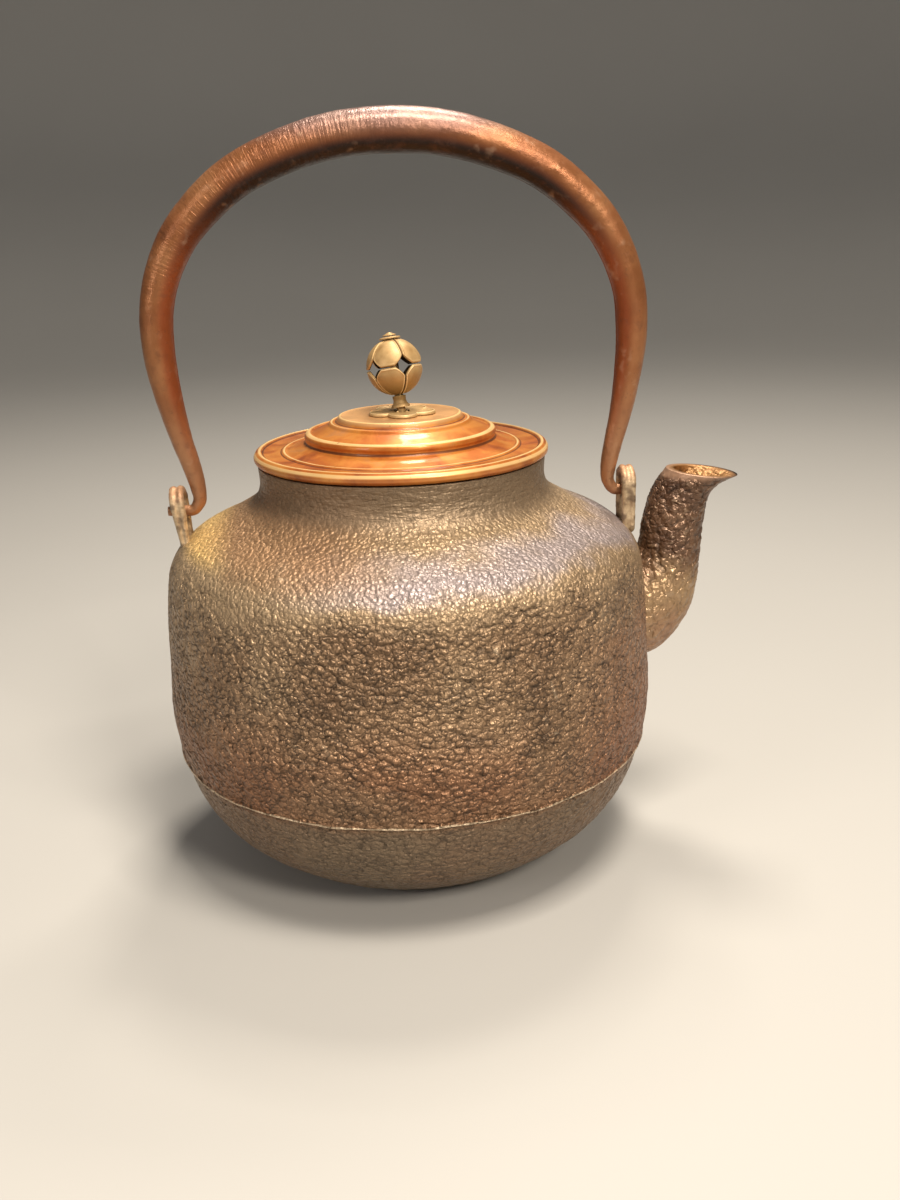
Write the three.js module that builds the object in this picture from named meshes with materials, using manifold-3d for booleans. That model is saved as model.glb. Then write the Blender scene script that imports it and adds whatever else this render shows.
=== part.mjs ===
// Cast-iron kettle (tetsubin): a squat cast body with a spout and two lugs, a hollow bail handle that swings
// in the lugs, and a copper lid with an openwork ball knob.
// Millimetres, +Z up. The origin is the centre of the flat base, the spout points along +X, and the handle
// swings about an axis along X.
import * as THREE from 'three';
import { mergeVertices } from 'three/addons/utils/BufferGeometryUtils.js';
import Module from 'manifold-3d';

const wasm = await Module();
wasm.setup();

// ---- driving dimensions ----
const GAP = 0.3; // clearance between pieces that touch

const BASE_RADIUS = 48;
const MOUTH_HEIGHT = 138.2;
const MOUTH_RADIUS = 48.3; // outside of the neck
const WALL = 4;
const SEAM_HEIGHT = 41.7; // raised line where the two halves of the mould met
const SEAM_HALF_WIDTH = 1.1;
const SEAM_RISE = 0.5;
// Outside of the body from the base edge to the mouth: [radius, height].
const BODY_OUTLINE = [
  [BASE_RADIUS, 0], [58.6, 6.6], [71.6, 18], [79.8, 33], [83.75, 55], [83.1, 72], [82.0, 92], [79.6, 106],
  [72.5, 114.2], [60.3, 120.2], [50.9, 126], [48.1, 131], [MOUTH_RADIUS, MOUTH_HEIGHT],
];

const SPOUT_WALL = 2.8;
const SPOUT_ROOT = -12; // how far the spout's channel is continued into the body, to open the wall
// Spout sections from root to lip: the edge facing the body, the outer edge, and the half width across.
const SPOUT_SECTIONS = [
  { inner: [76, 100.2], outer: [76, 61.5], half: 16.5 },
  { inner: [80.5, 100.8], outer: [86, 63.2], half: 15.5 },
  { inner: [81.4, 101.8], outer: [93.9, 69.2], half: 14 },
  { inner: [81.8, 103.2], outer: [100.2, 79.1], half: 12.4 },
  { inner: [82.1, 105.2], outer: [102.8, 91], half: 11.2 },
  { inner: [82.8, 110], outer: [103.7, 103.5], half: 10.6 },
  { inner: [84, 116], outer: [104.6, 113], half: 10.3 },
  { inner: [85.9, 121.6], outer: [106.4, 120.3], half: 10.2 },
  { inner: [88.3, 126], outer: [109.8, 124], half: 10.7 },
  { inner: [91.2, 129.5], outer: [115.7, 126.6], half: 11.4 },
];

const HINGE_HEIGHT = 123;
const LUG_X = 76.9; // middle of the lug by the spout
const REAR_LUG_X = -75.2; // middle of the rear lug at the height of the hinge
const LUG_STRAP = 4.9; // along X
const LUG_BAND = 3.2; // thickness of the loop's band
const LUG_WIDTH = 13; // across Y
const LUG_TOP = 131.6;
const LUG_FOOT = 108;
const LUG_HOLE_BOTTOM = 115.3;
const LUG_LEAN = THREE.MathUtils.degToRad(6); // the rear lug leans outwards

// Half of the handle's centre line, from the top to the tip of the hook: [x, z, radius].
const HANDLE_TOP = 240.9;
const HANDLE_STATIONS = [
  [0, HANDLE_TOP, 7.1], [23.2, 238.3, 6.9], [47, 229.2, 6.65], [63.2, 216.1, 6.3], [71.6, 204.2, 5.85],
  [76.5, 190.4, 5.45], [77.5, 176.2, 5.25], [76.2, 162.3, 4.55], [73.7, 148.5, 3.75], [71.2, 138.5, 3.25],
  [69.7, 131, 2.75], [69.6, 126.4, 2.3], [71.6, HINGE_HEIGHT + 0.3, 2.1], [75, HINGE_HEIGHT, 2],
  [77.8, HINGE_HEIGHT, 1.7],
];
const HANDLE_SKEW = 1; // the hooks stand this much nearer to the spout than the top of the arch does
const REAR_HOOK_EXTRA = 2.6; // how much further the rear hook reaches through its lug
const HANDLE_SHEET = 1.6; // the handle is folded from sheet of this thickness
const HANDLE_HOLLOW_ENDS = 0.36; // hollow over this share of the centre line each side of the top
const HANDLE_SLIT = 1.0; // open seam on the inside of the arch

const LID_RADIUS = 49;
const LID_UNDERSIDE = MOUTH_HEIGHT + 0.4;
const LID_SHEET = 1.8;
const LID_DISC_HEIGHT = 152.6; // flat middle of the lid, under the knob seat
// Top of the lid from the rim to the middle: [radius, height]. Two steps and three raised lines.
const LID_OUTLINE = [
  [LID_RADIUS, LID_UNDERSIDE], [LID_RADIUS + 0.35, 140.3], [48.6, 142], [47.2, 142.7], [45.8, 142],
  [42.5, 141.6], [40, 141.7], [39.2, 142.3], [38.4, 142], [33.5, 143.6], [32, 145.2], [31.5, 147.2],
  [30.4, 147.9], [29.4, 147.6], [24, 149.9], [23, 150.9], [22.2, 150.7], [20.9, 151.4], [20.5, 152.6],
  [19.8, 152.8], [19, LID_DISC_HEIGHT],
];
// Underside of the lid from the flange to the middle.
const LID_UNDERNEATH = [[44.2, 140], [34, 140.9], [31, 144.2], [24, 147.8], [19, 150.6]];
const FLANGE_RADIUS = 43.4;
const FLANGE_SHEET = 1.4;
const FLANGE_BOTTOM = 131.4;

const SEAT_PETAL_RADIUS = 5.5;
const SEAT_PETAL_OFFSET = 6.2;
const SEAT_THICKNESS = 1.1;
const SEAT_HOLE = 2.6;
const PETALS = 5;
const PETAL_TURN = THREE.MathUtils.degToRad(-90); // the first petal of the seat points to -Y

// The knob's stem is loose in the lid: it stands a little off centre and leans towards -X and +Y.
const KNOB_OFFSET = 0.8; // along X
const KNOB_LEAN_X = THREE.MathUtils.degToRad(-8); // turn about X
const KNOB_LEAN_Y = THREE.MathUtils.degToRad(-6.5); // turn about Y
const BALL_RADIUS = 9.4;
const BALL_SHEET = 0.9;
const BALL_CENTRE = 167.9;
const OPENING_TURN = THREE.MathUtils.degToRad(-69.5); // the first opening of the ball
const OPENING_HALF = THREE.MathUtils.degToRad(24); // half its width and half its height, seen from the centre
const OPENING_POWER = 0.75; // below 1 gives concave sides
const STEM_RADIUS = 1.5;
const STEM_HOLE = STEM_RADIUS + 0.4; // in the ball, the bush and the washer
const LID_HOLE = 2.9; // clear of the leaning stem, under the seat and the washer
const BUSH_FOOT_RADIUS = 3.3;
const BUSH_NECK_RADIUS = 2.3;
const BUSH_LIFT = 1; // keeps the leaning foot off the seat
const WASHER_RADIUS = 6;
const WASHER_THICKNESS = 0.8;
const WASHER_DROP = 1.5; // keeps the leaning washer off the lid

const ROUND = 44; // facets round the body and the lid
const SMALL_ROUND = 16;

const materials = {
  castIron: { color: 0x5b4c3f, roughness: 0.5, metalness: 0.8 },
  forgedIron: { color: 0x7a4a38, roughness: 0.45, metalness: 0.8 },
  copper: { color: 0x9a4a22, roughness: 0.3, metalness: 0.9 },
  bronze: { color: 0x9a7a4a, roughness: 0.35, metalness: 0.9 },
};

// ---- solids ----
function closed(geometry) {
  const bare = geometry.clone();
  bare.deleteAttribute('normal');
  bare.deleteAttribute('uv');
  return mergeVertices(bare, 1e-4);
}

function toSolid(geometry) {
  const merged = closed(geometry);
  return new wasm.Manifold(new wasm.Mesh({
    numProp: 3,
    vertProperties: merged.attributes.position.array,
    triVerts: new Uint32Array(merged.index.array),
  }));
}

function toGeometry(solid) {
  const { vertProperties, triVerts } = solid.getMesh();
  const geometry = new THREE.BufferGeometry();
  geometry.setAttribute('position', new THREE.BufferAttribute(vertProperties, 3));
  geometry.setIndex(new THREE.BufferAttribute(triVerts, 1));
  geometry.computeVertexNormals();
  return geometry;
}

function cut(geometry, ...cutters) {
  return toGeometry(cutters.reduce((solid, cutter) => solid.subtract(toSolid(cutter)), toSolid(geometry)));
}

// A solid of revolution about Z. Its [radius, height] points run from the bottom of the axis outwards and up.
function turned(outline, facets = SMALL_ROUND) {
  const points = outline.map(([radius, height]) => new THREE.Vector2(radius, height));
  return new THREE.LatheGeometry(points, facets).rotateX(Math.PI / 2);
}

// A ring or tube of revolution: its outline closes on itself.
const turnedRing = (outline, facets) => turned([...outline, outline[0]], facets);

// A solid through a row of closed sections with the same number of points each.
function loft(sections) {
  const count = sections[0].length;
  const centre = (section) => section.reduce((sum, p) => sum.add(p), new THREE.Vector3()).divideScalar(count);
  const points = [...sections.flat(), centre(sections[0]), centre(sections.at(-1))];
  const first = points.length - 2;
  const last = points.length - 1;
  const lastRow = (sections.length - 1) * count;
  const index = [];
  for (let i = 0; i < count; i += 1) {
    const next = (i + 1) % count;
    for (let row = 0; row < lastRow; row += count) {
      index.push(row + i, row + next, row + count + next, row + i, row + count + next, row + count + i);
    }
    index.push(first, next, i, last, lastRow + i, lastRow + next);
  }
  const geometry = new THREE.BufferGeometry().setFromPoints(points);
  geometry.setIndex(index);
  return geometry;
}

function outlineCurve(outline) {
  return new THREE.SplineCurve(outline.map(([radius, height]) => new THREE.Vector2(radius, height)));
}

// ---- body ----
// Points of the body's outside moved out by `offset`, as [radius, height].
function bodyOutside(steps, offset = 0) {
  const curve = outlineCurve(BODY_OUTLINE);
  return Array.from({ length: steps + 1 }, (_, i) => {
    const point = curve.getPointAt(i / steps);
    const tangent = curve.getTangentAt(i / steps);
    return [point.x + tangent.y * offset, point.y - tangent.x * offset];
  });
}

function withSeam(outline) {
  const above = outline.findIndex(([, height]) => height > SEAM_HEIGHT + SEAM_HALF_WIDTH);
  const below = outline.findLastIndex(([, height]) => height < SEAM_HEIGHT - SEAM_HALF_WIDTH);
  const radius = (outline[above][0] + outline[below][0]) / 2;
  return [
    ...outline.slice(0, below + 1),
    [radius - 0.25, SEAM_HEIGHT - SEAM_HALF_WIDTH],
    [radius + SEAM_RISE, SEAM_HEIGHT],
    [radius + 0.25, SEAM_HEIGHT + SEAM_HALF_WIDTH],
    ...outline.slice(above),
  ];
}

function bodyShell() {
  const inside = bodyOutside(12, -WALL).filter(([, height]) => height > WALL && height < MOUTH_HEIGHT - 1);
  const mouthInside = MOUTH_RADIUS - WALL;
  return turned([
    [0, 0], ...withSeam(bodyOutside(24)), [mouthInside, MOUTH_HEIGHT], ...inside.reverse(),
    [BASE_RADIUS, WALL], [0, WALL],
  ], ROUND);
}

// The solid block of the body with its outside moved out by `offset`, for cutting what stands on it.
function bodyBlock(offset) {
  return turned([[0, -5], [BASE_RADIUS + offset, -5], ...bodyOutside(24, offset), [0, MOUTH_HEIGHT]], ROUND);
}

// ---- spout ----
// An egg-shaped section between two edge points in the XZ plane, made smaller all round by `wall`.
function spoutSection({ inner, outer, half }, wall, facets = 20) {
  const from = new THREE.Vector3(inner[0], 0, inner[1]);
  const to = new THREE.Vector3(outer[0], 0, outer[1]);
  const middle = from.clone().add(to).multiplyScalar(0.5);
  const reach = to.clone().sub(from).multiplyScalar(0.5);
  reach.setLength(reach.length() - wall);
  return Array.from({ length: facets }, (_, i) => {
    const angle = (i / facets) * 2 * Math.PI;
    const point = middle.clone().addScaledVector(reach, Math.cos(angle));
    point.y = (half - wall) * Math.sin(angle);
    return point;
  });
}

function spoutLoft(wall, extendEnds) {
  const sections = SPOUT_SECTIONS.map((section) => spoutSection(section, wall));
  if (extendEnds) {
    const moved = (section, x, z) => section.map((p) => p.clone().add(new THREE.Vector3(x, 0, z)));
    sections.unshift(moved(sections[0], SPOUT_ROOT, 0));
    sections.push(moved(sections.at(-1), 1.5, 4));
  }
  return loft(sections);
}

// ---- lugs ----
// An upright loop across X, with its hole for the handle's hook.
function lugLoop() {
  const half = LUG_WIDTH / 2;
  const outline = (inset, bottom) => {
    const radius = half - inset;
    const path = new THREE.Path();
    path.moveTo(-radius, bottom);
    path.lineTo(radius, bottom);
    path.lineTo(radius, LUG_TOP - half);
    path.absarc(0, LUG_TOP - half, radius, 0, Math.PI);
    path.closePath();
    return path;
  };
  const shape = new THREE.Shape(outline(0.6, LUG_FOOT).getPoints(8));
  shape.holes.push(new THREE.Path(outline(LUG_BAND - 0.6, LUG_HOLE_BOTTOM).getPoints(8)));
  const bevel = { bevelThickness: 0.8, bevelSize: 0.6, bevelSegments: 2 };
  const loop = new THREE.ExtrudeGeometry(shape, { depth: LUG_STRAP - 1.6, curveSegments: 8, ...bevel });
  // The shape's x runs along Y, its y along Z, and the extrusion along X.
  loop.translate(0, 0, 0.8 - LUG_STRAP / 2);
  loop.applyMatrix4(new THREE.Matrix4().makeBasis(
    new THREE.Vector3(0, 1, 0), new THREE.Vector3(0, 0, 1), new THREE.Vector3(1, 0, 0),
  ));
  return loop;
}

// A lug with its middle at `x` at the height of the hinge, turned by `lean` about Y and trimmed to the body.
function lug(x, lean) {
  const loop = lugLoop().translate(0, 0, -HINGE_HEIGHT).rotateY(lean).translate(x, 0, HINGE_HEIGHT);
  return cut(loop, bodyBlock(GAP));
}

// ---- handle ----
// The whole centre line, from the tip of the rear hook to the tip of the hook by the spout.
function handleStations() {
  const rear = HANDLE_STATIONS.slice(1).reverse().map(([x, z, radius]) => [-x, z, radius]);
  rear[0][0] -= REAR_HOOK_EXTRA;
  const skew = (z) => (HANDLE_SKEW * (HANDLE_TOP - z)) / (HANDLE_TOP - HINGE_HEIGHT);
  return [...rear, ...HANDLE_STATIONS].map(([x, z, radius]) => [x + skew(z), z, radius]);
}

// Round sections square to the centre line over the whole arch; `trim` takes that much off the radius, and
// `share` is the part of the centre line each side of the top that they cover.
function handleSections({ trim = 0, share = 0.5, steps = 44, facets = 12 }) {
  const stations = handleStations();
  const centres = stations.map(([x, z]) => new THREE.Vector3(x, 0, z));
  const path = new THREE.CatmullRomCurve3(centres, false, 'centripetal');
  return Array.from({ length: steps + 1 }, (_, i) => {
    const at = 0.5 + share * (2 * (i / steps) - 1);
    const along = path.getUtoTmapping(at) * (stations.length - 1);
    const low = Math.min(Math.floor(along), stations.length - 2);
    const radius = THREE.MathUtils.lerp(stations[low][2], stations[low + 1][2], along - low) - trim;
    const tangent = path.getTangentAt(at);
    const outwards = new THREE.Vector3(-tangent.z, 0, tangent.x);
    const centre = path.getPointAt(at);
    return { centre, outwards, radius, facets };
  });
}

function ringSection({ centre, outwards, radius, facets }) {
  return Array.from({ length: facets }, (_, i) => {
    const angle = (i / facets) * 2 * Math.PI;
    const point = centre.clone().addScaledVector(outwards, Math.cos(angle) * radius);
    point.y = -Math.sin(angle) * radius;
    return point;
  });
}

// A flat ribbon from the hollow through the inside of the arch.
function slitSection({ centre, outwards, radius }) {
  const corner = (out, y) => {
    const point = centre.clone().addScaledVector(outwards, out);
    point.y = y;
    return point;
  };
  const half = HANDLE_SLIT / 2;
  const deep = -radius - 2 * HANDLE_SHEET;
  return [corner(0, -half), corner(deep, -half), corner(deep, half), corner(0, half)];
}

function handleGeometry() {
  const outside = loft(handleSections({}).map(ringSection));
  const hollow = { trim: HANDLE_SHEET, share: HANDLE_HOLLOW_ENDS, steps: 24 };
  const inside = loft(handleSections({ ...hollow, facets: 8 }).map(ringSection));
  const slit = loft(handleSections(hollow).map(slitSection));
  return cut(outside, inside, slit);
}

// ---- lid ----
function lidDisc() {
  return turnedRing([
    [LID_UNDERNEATH[0][0], LID_UNDERSIDE], ...LID_OUTLINE, [LID_HOLE, LID_DISC_HEIGHT],
    [LID_HOLE, LID_DISC_HEIGHT - LID_SHEET], ...LID_UNDERNEATH.toReversed(),
  ], ROUND);
}

function lidFlange() {
  const inside = FLANGE_RADIUS - FLANGE_SHEET;
  const top = 139.5;
  return turnedRing([
    [inside, FLANGE_BOTTOM], [FLANGE_RADIUS, FLANGE_BOTTOM], [FLANGE_RADIUS, top], [inside, top],
  ], ROUND);
}

// ---- knob ----
// Plum blossom: the outline of five circles set round a centre.
function knobSeat() {
  const petal = (2 * Math.PI) / PETALS;
  const steps = PETALS * 8;
  const points = Array.from({ length: steps }, (_, i) => {
    const angle = (i / steps) * 2 * Math.PI;
    const off = (((angle + petal / 2) % petal) + petal) % petal - petal / 2;
    const across = SEAT_PETAL_OFFSET * Math.sin(off);
    const radius = SEAT_PETAL_OFFSET * Math.cos(off) + Math.sqrt(SEAT_PETAL_RADIUS ** 2 - across ** 2);
    return new THREE.Vector2(Math.cos(angle + PETAL_TURN) * radius, Math.sin(angle + PETAL_TURN) * radius);
  });
  const shape = new THREE.Shape(points);
  const hole = new THREE.Path().absarc(0, 0, SEAT_HOLE, 0, 2 * Math.PI);
  shape.holes.push(new THREE.Path(hole.getSpacedPoints(SMALL_ROUND)));
  const bevel = { bevelThickness: 0.3, bevelSize: 0.3, bevelOffset: -0.3, bevelSegments: 1 };
  return new THREE.ExtrudeGeometry(shape, { depth: SEAT_THICKNESS - 0.6, ...bevel }).translate(0, 0, 0.3);
}

// Height angle of a petal's edge above the ball's middle, at an angle round the ball.
function petalEdge(angle) {
  const spacing = (2 * Math.PI) / PETALS;
  const turned = (((angle + spacing / 2) % spacing) + spacing) % spacing - spacing / 2;
  const share = Math.min(1, Math.abs(turned) / OPENING_HALF);
  const seam = GAP / 2 / (BALL_RADIUS - BALL_SHEET);
  return Math.max(seam, OPENING_HALF * (1 - share ** OPENING_POWER) ** (1 / OPENING_POWER));
}

// One five-petal blossom raised into a half ball, centred on the ball's centre; side is 1 above and -1 below.
function ballBlossom(side) {
  const columns = PETALS * 10;
  const rows = 4;
  const pole = Math.acos(STEM_HOLE / (BALL_RADIUS - BALL_SHEET));
  const sections = Array.from({ length: columns }, (_, i) => {
    const angle = (i / columns) * 2 * Math.PI;
    const edge = petalEdge(angle);
    const point = (radius, row) => {
      const lift = THREE.MathUtils.lerp(edge, pole, row / rows);
      const flat = radius * Math.cos(lift);
      const turn = angle + OPENING_TURN;
      return new THREE.Vector3(flat * Math.cos(turn), flat * Math.sin(turn), side * radius * Math.sin(lift));
    };
    const outside = Array.from({ length: rows + 1 }, (_, row) => point(BALL_RADIUS, row));
    const inside = Array.from({ length: rows + 1 }, (_, row) => point(BALL_RADIUS - BALL_SHEET, rows - row));
    const section = [...outside, ...inside];
    return side > 0 ? section : section.reverse();
  });
  return closeRound(sections);
}

// Joins sections all the way round, the last to the first.
function closeRound(sections) {
  const count = sections[0].length;
  const index = [];
  for (let s = 0; s < sections.length; s += 1) {
    const row = s * count;
    const after = ((s + 1) % sections.length) * count;
    for (let i = 0; i < count; i += 1) {
      const next = (i + 1) % count;
      index.push(row + i, after + i, after + next, row + i, after + next, row + next);
    }
  }
  const geometry = new THREE.BufferGeometry().setFromPoints(sections.flat());
  geometry.setIndex(index);
  return geometry;
}

const seatBottom = LID_DISC_HEIGHT + GAP;
const bushBottom = seatBottom + SEAT_THICKNESS + BUSH_LIFT;
const ballBottom = BALL_CENTRE - BALL_RADIUS;
const ballTop = BALL_CENTRE + BALL_RADIUS;
const washerTop = LID_DISC_HEIGHT - LID_SHEET - WASHER_DROP;
const washerBottom = washerTop - WASHER_THICKNESS;

function stemBush() {
  const top = ballBottom - 0.1;
  return turnedRing([
    [STEM_HOLE, bushBottom], [BUSH_FOOT_RADIUS, bushBottom], [BUSH_FOOT_RADIUS, bushBottom + 0.6],
    [BUSH_NECK_RADIUS, bushBottom + 1.7], [BUSH_NECK_RADIUS, top], [STEM_HOLE, top],
  ]);
}

// The rod through lid and ball, with its peened head under the lid.
function knobStem() {
  const headTop = washerBottom - GAP;
  return turned([
    [0, headTop - 1.4], [1.8, headTop - 1.1], [2.8, headTop], [STEM_RADIUS, headTop],
    [STEM_RADIUS, ballTop + 0.3], [0, ballTop + 0.3],
  ]);
}

function stemWasher() {
  return turnedRing([
    [STEM_HOLE, washerBottom], [WASHER_RADIUS, washerBottom],
    [WASHER_RADIUS, washerTop], [STEM_HOLE, washerTop],
  ]);
}

function knobCollar() {
  return turnedRing([
    [STEM_HOLE, ballTop + 0.15], [3.5, ballTop - 0.3], [3.6, ballTop + 0.1], [3.3, ballTop + 0.35],
    [STEM_HOLE, ballTop + 0.5],
  ]);
}

function knobFinial() {
  return turned([
    [0, ballTop + 0.8], [2.3, ballTop + 0.8], [2.2, ballTop + 1.2], [1.2, ballTop + 1.7], [0, ballTop + 1.9],
  ]);
}

// ---- assembly ----
const kettle = new THREE.Group();

function add(name, geometry, look, parent = kettle) {
  const mesh = new THREE.Mesh(geometry, new THREE.MeshStandardMaterial(materials[look]));
  mesh.name = name;
  parent.add(mesh);
  return mesh;
}

add('kettle_body', cut(bodyShell(), spoutLoft(SPOUT_WALL, true)), 'castIron');
add('spout', cut(spoutLoft(0, false), spoutLoft(SPOUT_WALL, true), bodyBlock(GAP)), 'castIron');
add('lug_spout_side', lug(LUG_X, 0), 'castIron');
add('lug_rear', lug(REAR_LUG_X, -LUG_LEAN), 'castIron');

add('handle', handleGeometry(), 'forgedIron');

add('lid_disc', lidDisc(), 'copper');
add('lid_flange', lidFlange(), 'copper');
add('knob_seat', knobSeat(), 'bronze').position.set(KNOB_OFFSET, 0, seatBottom);

// What stands on the stem leans with it, about the middle of the lid's sheet.
const leaning = new THREE.Group();
leaning.position.set(KNOB_OFFSET, 0, LID_DISC_HEIGHT - LID_SHEET / 2);
leaning.rotation.set(KNOB_LEAN_X, KNOB_LEAN_Y, 0);
const upright = new THREE.Group();
upright.position.z = -leaning.position.z;
leaning.add(upright);
kettle.add(leaning);

add('stem_bush', stemBush(), 'bronze', upright);
add('knob_stem', knobStem(), 'bronze', upright);
add('stem_washer', stemWasher(), 'bronze', upright);
add('knob_finial', knobFinial(), 'bronze', upright);
add('knob_lower_blossom', ballBlossom(-1), 'bronze', upright).position.z = BALL_CENTRE;
add('knob_upper_blossom', ballBlossom(1), 'bronze', upright).position.z = BALL_CENTRE;
add('knob_collar', knobCollar(), 'bronze', upright);

export default kettle;
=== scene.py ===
import math

import bpy
import numpy as np
from mathutils import Matrix, Vector


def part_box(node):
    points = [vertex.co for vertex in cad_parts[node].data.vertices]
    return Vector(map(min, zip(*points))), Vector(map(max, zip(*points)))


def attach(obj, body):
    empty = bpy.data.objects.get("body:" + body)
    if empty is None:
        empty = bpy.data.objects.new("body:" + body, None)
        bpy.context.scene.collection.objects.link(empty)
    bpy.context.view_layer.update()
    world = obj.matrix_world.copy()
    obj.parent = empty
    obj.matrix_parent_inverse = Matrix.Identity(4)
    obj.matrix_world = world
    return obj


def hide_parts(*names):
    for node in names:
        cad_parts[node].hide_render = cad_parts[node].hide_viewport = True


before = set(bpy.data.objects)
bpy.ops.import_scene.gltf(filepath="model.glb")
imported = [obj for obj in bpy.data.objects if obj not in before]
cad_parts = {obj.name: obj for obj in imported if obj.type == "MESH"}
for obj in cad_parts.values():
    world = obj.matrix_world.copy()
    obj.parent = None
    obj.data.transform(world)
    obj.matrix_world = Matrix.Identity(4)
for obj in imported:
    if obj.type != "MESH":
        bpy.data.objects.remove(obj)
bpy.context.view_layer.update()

MM = 0.001
TAU = 2 * math.pi
PETALS = 5


def node_box(name):
    """Lowest and highest corner of a CAD node, in millimetres."""
    return [np.array(corner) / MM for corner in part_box(name)]


# ---- driving dimensions, in millimetres, from the frame where it holds them ----
MOUTH_HEIGHT = node_box("kettle_body")[1][2]
BASE_RADIUS = 48
MOUTH_RADIUS = 48.3
WALL = 4
SEAM_HEIGHT = 41.7
BODY_OUTLINE = [
    (BASE_RADIUS, 0), (58.6, 6.6), (71.6, 18), (79.8, 33), (83.75, 55), (83.1, 72), (82.0, 92), (79.6, 106),
    (72.5, 114.2), (60.3, 120.2), (50.9, 126), (48.1, 131), (MOUTH_RADIUS, MOUTH_HEIGHT),
]
# Spout sections from root to lip: edge facing the body, outer edge, half width.
SPOUT_SECTIONS = [
    ((76, 100.2), (76, 61.5), 16.5), ((80.5, 100.8), (86, 63.2), 15.5),
    ((81.4, 101.8), (93.9, 69.2), 14), ((81.8, 103.2), (100.2, 79.1), 12.4),
    ((82.1, 105.2), (102.8, 91), 11.2), ((82.8, 110), (103.7, 103.5), 10.6),
    ((84, 116), (104.6, 113), 10.3), ((85.9, 121.6), (106.4, 120.3), 10.2),
    ((88.3, 126), (109.8, 124), 10.7), ((91.2, 129.5), (115.7, 126.6), 11.4),
]
SPOUT_WALL = 2.6
HINGE_HEIGHT = 123
LUG_X = 76.9
REAR_LUG_X = -75.2
LUG_STRAP = 4.9
LUG_BAND = 3.2
LUG_WIDTH = 13
LUG_TOP = 131.6
LUG_FOOT = 110
LUG_LEAN = math.radians(6)
# Half of the handle's centre line, from the top to the tip of the hook: x, z, radius.
HANDLE_TOP = 240.9
HANDLE_STATIONS = [
    (0, HANDLE_TOP, 7.1), (23.2, 238.3, 6.9), (47, 229.2, 6.65), (63.2, 216.1, 6.3), (71.6, 204.2, 5.85),
    (76.5, 190.4, 5.45), (77.5, 176.2, 5.25), (76.2, 162.3, 4.55), (73.7, 148.5, 3.75), (71.2, 138.5, 3.25),
    (69.7, 131, 2.75), (69.6, 126.4, 2.3), (71.6, HINGE_HEIGHT + 0.3, 2.1), (75, HINGE_HEIGHT, 2),
    (77.8, HINGE_HEIGHT, 1.7),
]
HANDLE_SKEW = 1
REAR_HOOK_EXTRA = 2.6
LID_UNDERSIDE = node_box("lid_disc")[0][2]
LID_RADIUS = 49
LID_DISC_HEIGHT = 152.6
LID_HOLE = 2.9
FLANGE = node_box("lid_flange")
SEAT = node_box("knob_seat")
SEAT_HOLE = 2.6
# What stands on the stem leans about the middle of the lid's sheet. Its own sizes are given upright.
KNOB_FOOT = np.array([0.8, 0, LID_DISC_HEIGHT - 0.9])
KNOB_LEAN = Matrix.Rotation(math.radians(-8), 3, "X") @ Matrix.Rotation(math.radians(-6.5), 3, "Y")
STEM_RADIUS = 1.5
STEM_HOLE = 1.9
STEM_HEAD = 148.5
WASHER_TOP = LID_DISC_HEIGHT - 3.3
BUSH_BOTTOM = SEAT[1][2] + 0.6
BALL_RADIUS = 9.4
BALL_SHEET = 0.9
BALL_CENTRE = 167.9
BALL_TOP = BALL_CENTRE + BALL_RADIUS
OPENING_TURN = math.radians(-69.5)
OPENING_HALF = math.radians(24)
OPENING_POWER = 0.8


# ---- noise ----
def lattice(x, y, z, seed):
    """A repeatable pseudo-random value in 0..1 for each whole-number point."""
    mixed = (x * 374761393 + y * 668265263 + z * 1440662683 + seed * 1274126177) & 0xFFFFFFFF
    mixed = ((mixed ^ (mixed >> 13)) * 1274126177) & 0xFFFFFFFF
    return ((mixed ^ (mixed >> 16)) & 0xFFFFFFFF) / 0xFFFFFFFF


def noise(points, size, seed=0):
    """Smooth value noise in -1..1, with blobs of about `size`."""
    scaled = points / size
    cell = np.floor(scaled).astype(np.int64)
    part = scaled - cell
    part = part**3 * (part * (part * 6 - 15) + 10)
    total = np.zeros(len(points))
    for corner in range(8):
        step = np.array([corner & 1, corner >> 1 & 1, corner >> 2 & 1])
        weight = np.where(step, part, 1 - part).prod(1)
        total += weight * lattice(*(cell + step).T, seed)
    return total * 2 - 1


def fractal(points, size, octaves, seed=0):
    """Noise summed over octaves that halve in size and strength."""
    return sum(noise(points, size / 2**i, seed + i) / 2**i for i in range(octaves)) / 1.6


def pebbles(points, size, seed=0):
    """Rounded grains of about `size`, 1 on top, between sharp wandering crevices, which are 0."""
    ridges = np.abs(noise(points, size, seed))
    crossing_ridges = np.abs(noise(points[:, ::-1], size * 1.3, seed + 1))
    return np.clip(np.minimum(ridges, crossing_ridges) * 2.4, 0, 1) ** 0.6


def warped(points, size, strength, seed):
    """The points moved about by noise of the given size."""
    return points + np.stack([noise(points, size, seed + k) for k in range(3)], 1) * strength


def smoothstep(low, high, value):
    part = np.clip((value - low) / (high - low), 0, 1)
    return part * part * (3 - 2 * part)


def bump(value, centre, width):
    """A round hump, 1 at centre and about 0 beyond `width`."""
    return np.exp(-(((value - centre) / width) ** 2) * 2)


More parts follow.
